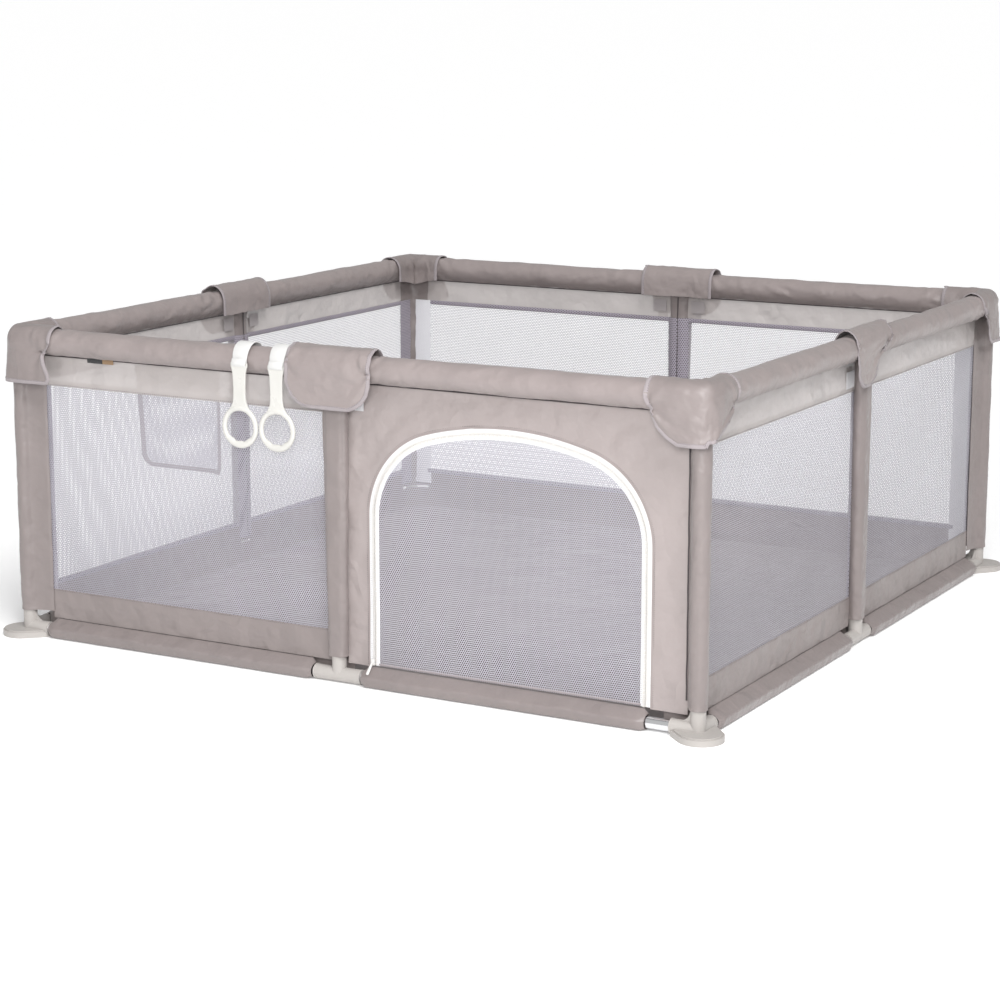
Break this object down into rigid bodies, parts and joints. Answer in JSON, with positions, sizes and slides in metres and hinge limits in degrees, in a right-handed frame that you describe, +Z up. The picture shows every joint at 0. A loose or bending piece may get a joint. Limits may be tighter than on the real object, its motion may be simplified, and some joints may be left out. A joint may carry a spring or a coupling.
{
  "type": "playpen",
  "caption": "Square fabric playpen on a tube frame, with padded top rails, net walls, a zipped door and hanging pull rings.",
  "frame": {"origin": "centre of the pen's square footprint, on the floor plane that the feet stand on", "axes": "+Z up; +X to the right along the front side; the front side, with the door and the pull rings, faces -Y"},
  "size_m": [1.604, 1.604, 0.6429],
  "materials": {
    "tube": "polished steel tube",
    "connector": "moulded, fine matt",
    "cup": "soft translucent rubber",
    "foam": "closed-cell foam tube",
    "cover_cloth": "coated Oxford cloth with a soft sheen",
    "wall_cloth": "coated Oxford cloth with a soft sheen",
    "net": "knitted hexagonal net",
    "hook_loop": "hook-and-loop tape",
    "zip_tape": "woven zip tape",
    "zip_metal": "painted zinc",
    "label": "woven label",
    "strap": "webbing",
    "ring": "smooth moulding"
  },
  "bodies": {
    "pen": {"corner_post_front_left": "tube", "corner_post_front_right": "tube", "corner_post_back_right": "tube", "corner_post_back_left": "tube", "mid_post_front": "tube", "mid_post_right": "tube", "mid_post_back": "tube", "mid_post_left": "tube", "top_rail_front": "tube", "top_rail_right": "tube", "top_rail_back": "tube", "top_rail_left": "tube", "bottom_rail_front": "tube", "bottom_rail_right": "tube", "bottom_rail_back": "tube", "bottom_rail_left": "tube", "top_corner_front_left": "connector", "top_corner_front_right": "connector", "top_corner_back_right": "connector", "top_corner_back_left": "connector", "top_tee_front": "connector", "top_tee_right": "connector", "top_tee_back": "connector", "top_tee_left": "connector", "foot_front_left": "connector", "foot_front_right": "connector", "foot_back_right": "connector", "foot_back_left": "connector", "bottom_tee_front": "connector", "bottom_tee_right": "connector", "bottom_tee_back": "connector", "bottom_tee_left": "connector", "suction_cups": "cup", "rail_pads": "foam", "rail_covers": "cover_cloth", "net_front": "net", "net_right": "net", "net_back": "net", "net_left": "net", "top_bands": "wall_cloth", "bottom_skirts": "wall_cloth", "corner_sleeves": "cover_cloth", "mid_sleeves": "cover_cloth", "bottom_rail_sleeves": "cover_cloth", "corner_caps": "cover_cloth", "saddles": "cover_cloth", "hook_loop_patches": "hook_loop", "door_surround": "wall_cloth", "zip_tape": "zip_tape", "floor_sheet": "wall_cloth", "pocket": "net", "side_label": "label", "ring_strap_right": "strap"},
    "door": {"door_net": "net", "door_tape": "zip_tape"},
    "zip_slider": {"zip_slider": "zip_metal"},
    "zip_pull": {"zip_pull": "zip_metal"},
    "strap_left": {"ring_strap_left": "strap"},
    "ring_left": {"pull_ring_left": "ring"},
    "ring_right": {"pull_ring_right": "ring"}
  },
  "joints": [
    {"name": "door_fold", "type": "hinge", "parent": "pen", "child": "door", "pos_m": [0.359, -0.742, 0.04], "axis": [1, 0, 0], "range_deg": [-92, 92]},
    {"name": "zip_slide", "type": "slide", "parent": "pen", "child": "zip_slider", "axis": [0, 0, 1], "range_m": [0, 0.26]},
    {"name": "zip_pull_swing", "type": "hinge", "parent": "zip_slider", "child": "zip_pull", "pos_m": [0.07225, -0.749, 0.045], "axis": [1, 0, 0], "range_deg": [-120, 0]},
    {"name": "strap_slide_left", "type": "slide", "parent": "pen", "child": "strap_left", "axis": [-1, 0, 0], "range_m": [0, 0.4]},
    {"name": "ring_swing_left", "type": "hinge", "parent": "strap_left", "child": "ring_left", "pos_m": [-0.196, -0.7813, 0.6], "axis": [-1, 0, 0], "range_deg": [-8, 100]},
    {"name": "ring_swing_right", "type": "hinge", "parent": "pen", "child": "ring_right", "pos_m": [-0.112, -0.7813, 0.6], "axis": [-1, 0, 0], "range_deg": [-8, 100]}
  ]
}
